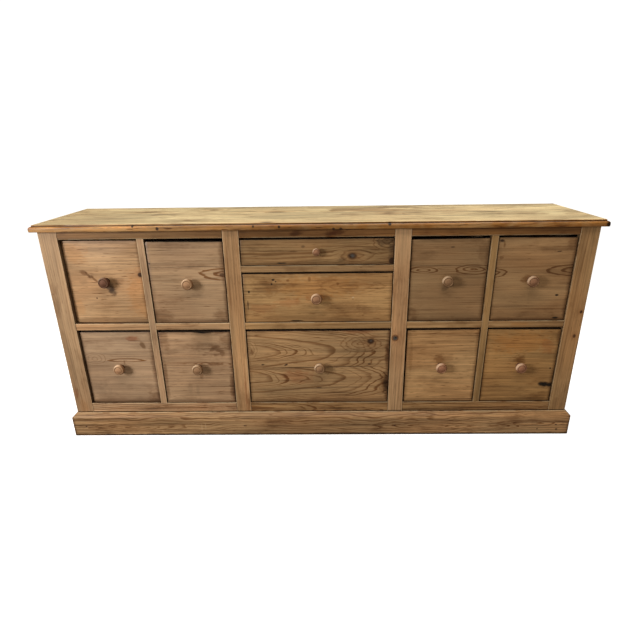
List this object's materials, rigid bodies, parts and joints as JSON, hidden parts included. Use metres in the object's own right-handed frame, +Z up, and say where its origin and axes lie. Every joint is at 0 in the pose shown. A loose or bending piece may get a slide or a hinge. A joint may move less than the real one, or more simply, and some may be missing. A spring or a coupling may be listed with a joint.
{
  "type": "drawer cabinet",
  "caption": "Long low pine cabinet with a moulded top and a plinth, its face frame filled with dovetailed drawers on turned wooden knobs.",
  "frame": {"origin": "on the floor, at the middle of the overall width and of the depth from the foremost knob to the back", "axes": "+X to the right as seen from the front, -Y out of the front, +Z up"},
  "size_m": [2.038, 0.4436, 0.8735],
  "materials": {
    "pine_top": "old pine, waxed and rubbed pale",
    "pine_case": "old pine, waxed",
    "pine_front": "old pine, waxed, with knots and stains",
    "pine_raw": "unfinished pine, darkened by age",
    "knob_wood": "turned wood, polished by hands",
    "iron": "old cut nails, dark and dull"
  },
  "bodies": {
    "case": {"back_boards": "pine_raw", "back_rails": "pine_raw", "base_bearers": "pine_raw", "base_board": "pine_raw", "centre_bank_rails": "pine_case", "drawer_guides": "pine_raw", "drawer_kickers": "pine_raw", "drawer_runners": "pine_raw", "drawer_stops": "pine_raw", "left_bank_rails": "pine_case", "left_corner_stile": "pine_case", "left_end_panel": "pine_case", "left_main_stile": "pine_case", "left_muntin": "pine_case", "left_partition": "pine_raw", "nails": "iron", "plinth_front": "pine_case", "plinth_left": "pine_case", "plinth_right": "pine_case", "right_bank_rails": "pine_case", "right_corner_stile": "pine_case", "right_end_panel": "pine_case", "right_main_stile": "pine_case", "right_muntin": "pine_case", "right_partition": "pine_raw", "top_back_board": "pine_top", "top_front_board": "pine_top"},
    "left_upper_outer_drawer": {"left_upper_outer_front": "pine_front", "left_upper_outer_box": "pine_raw", "left_upper_outer_knob": "knob_wood"},
    "left_upper_inner_drawer": {"left_upper_inner_front": "pine_front", "left_upper_inner_box": "pine_raw", "left_upper_inner_knob": "knob_wood"},
    "left_lower_outer_drawer": {"left_lower_outer_front": "pine_front", "left_lower_outer_box": "pine_raw", "left_lower_outer_knob": "knob_wood"},
    "left_lower_inner_drawer": {"left_lower_inner_front": "pine_front", "left_lower_inner_box": "pine_raw", "left_lower_inner_knob": "knob_wood"},
    "centre_top_drawer": {"centre_top_front": "pine_front", "centre_top_box": "pine_raw", "centre_top_knob": "knob_wood"},
    "centre_middle_drawer": {"centre_middle_front": "pine_front", "centre_middle_box": "pine_raw", "centre_middle_knob": "knob_wood"},
    "centre_bottom_drawer": {"centre_bottom_front": "pine_front", "centre_bottom_box": "pine_raw", "centre_bottom_knob": "knob_wood"},
    "right_upper_inner_drawer": {"right_upper_inner_front": "pine_front", "right_upper_inner_box": "pine_raw", "right_upper_inner_knob": "knob_wood"},
    "right_upper_outer_drawer": {"right_upper_outer_front": "pine_front", "right_upper_outer_box": "pine_raw", "right_upper_outer_knob": "knob_wood"},
    "right_lower_inner_drawer": {"right_lower_inner_front": "pine_front", "right_lower_inner_box": "pine_raw", "right_lower_inner_knob": "knob_wood"},
    "right_lower_outer_drawer": {"right_lower_outer_front": "pine_front", "right_lower_outer_box": "pine_raw", "right_lower_outer_knob": "knob_wood"}
  },
  "joints": [
    {"name": "left_upper_outer_slide", "type": "slide", "parent": "case", "child": "left_upper_outer_drawer", "axis": [0, -1, 0], "range_m": [0, 0.3]},
    {"name": "left_upper_inner_slide", "type": "slide", "parent": "case", "child": "left_upper_inner_drawer", "axis": [0, -1, 0], "range_m": [0, 0.3]},
    {"name": "left_lower_outer_slide", "type": "slide", "parent": "case", "child": "left_lower_outer_drawer", "axis": [0, -1, 0], "range_m": [0, 0.3]},
    {"name": "left_lower_inner_slide", "type": "slide", "parent": "case", "child": "left_lower_inner_drawer", "axis": [0, -1, 0], "range_m": [0, 0.3]},
    {"name": "centre_top_slide", "type": "slide", "parent": "case", "child": "centre_top_drawer", "axis": [0, -1, 0], "range_m": [0, 0.3]},
    {"name": "centre_middle_slide", "type": "slide", "parent": "case", "child": "centre_middle_drawer", "axis": [0, -1, 0], "range_m": [0, 0.3]},
    {"name": "centre_bottom_slide", "type": "slide", "parent": "case", "child": "centre_bottom_drawer", "axis": [0, -1, 0], "range_m": [0, 0.3]},
    {"name": "right_upper_inner_slide", "type": "slide", "parent": "case", "child": "right_upper_inner_drawer", "axis": [0, -1, 0], "range_m": [0, 0.3]},
    {"name": "right_upper_outer_slide", "type": "slide", "parent": "case", "child": "right_upper_outer_drawer", "axis": [0, -1, 0], "range_m": [0, 0.3]},
    {"name": "right_lower_inner_slide", "type": "slide", "parent": "case", "child": "right_lower_inner_drawer", "axis": [0, -1, 0], "range_m": [0, 0.3]},
    {"name": "right_lower_outer_slide", "type": "slide", "parent": "case", "child": "right_lower_outer_drawer", "axis": [0, -1, 0], "range_m": [0, 0.3]}
  ]
}
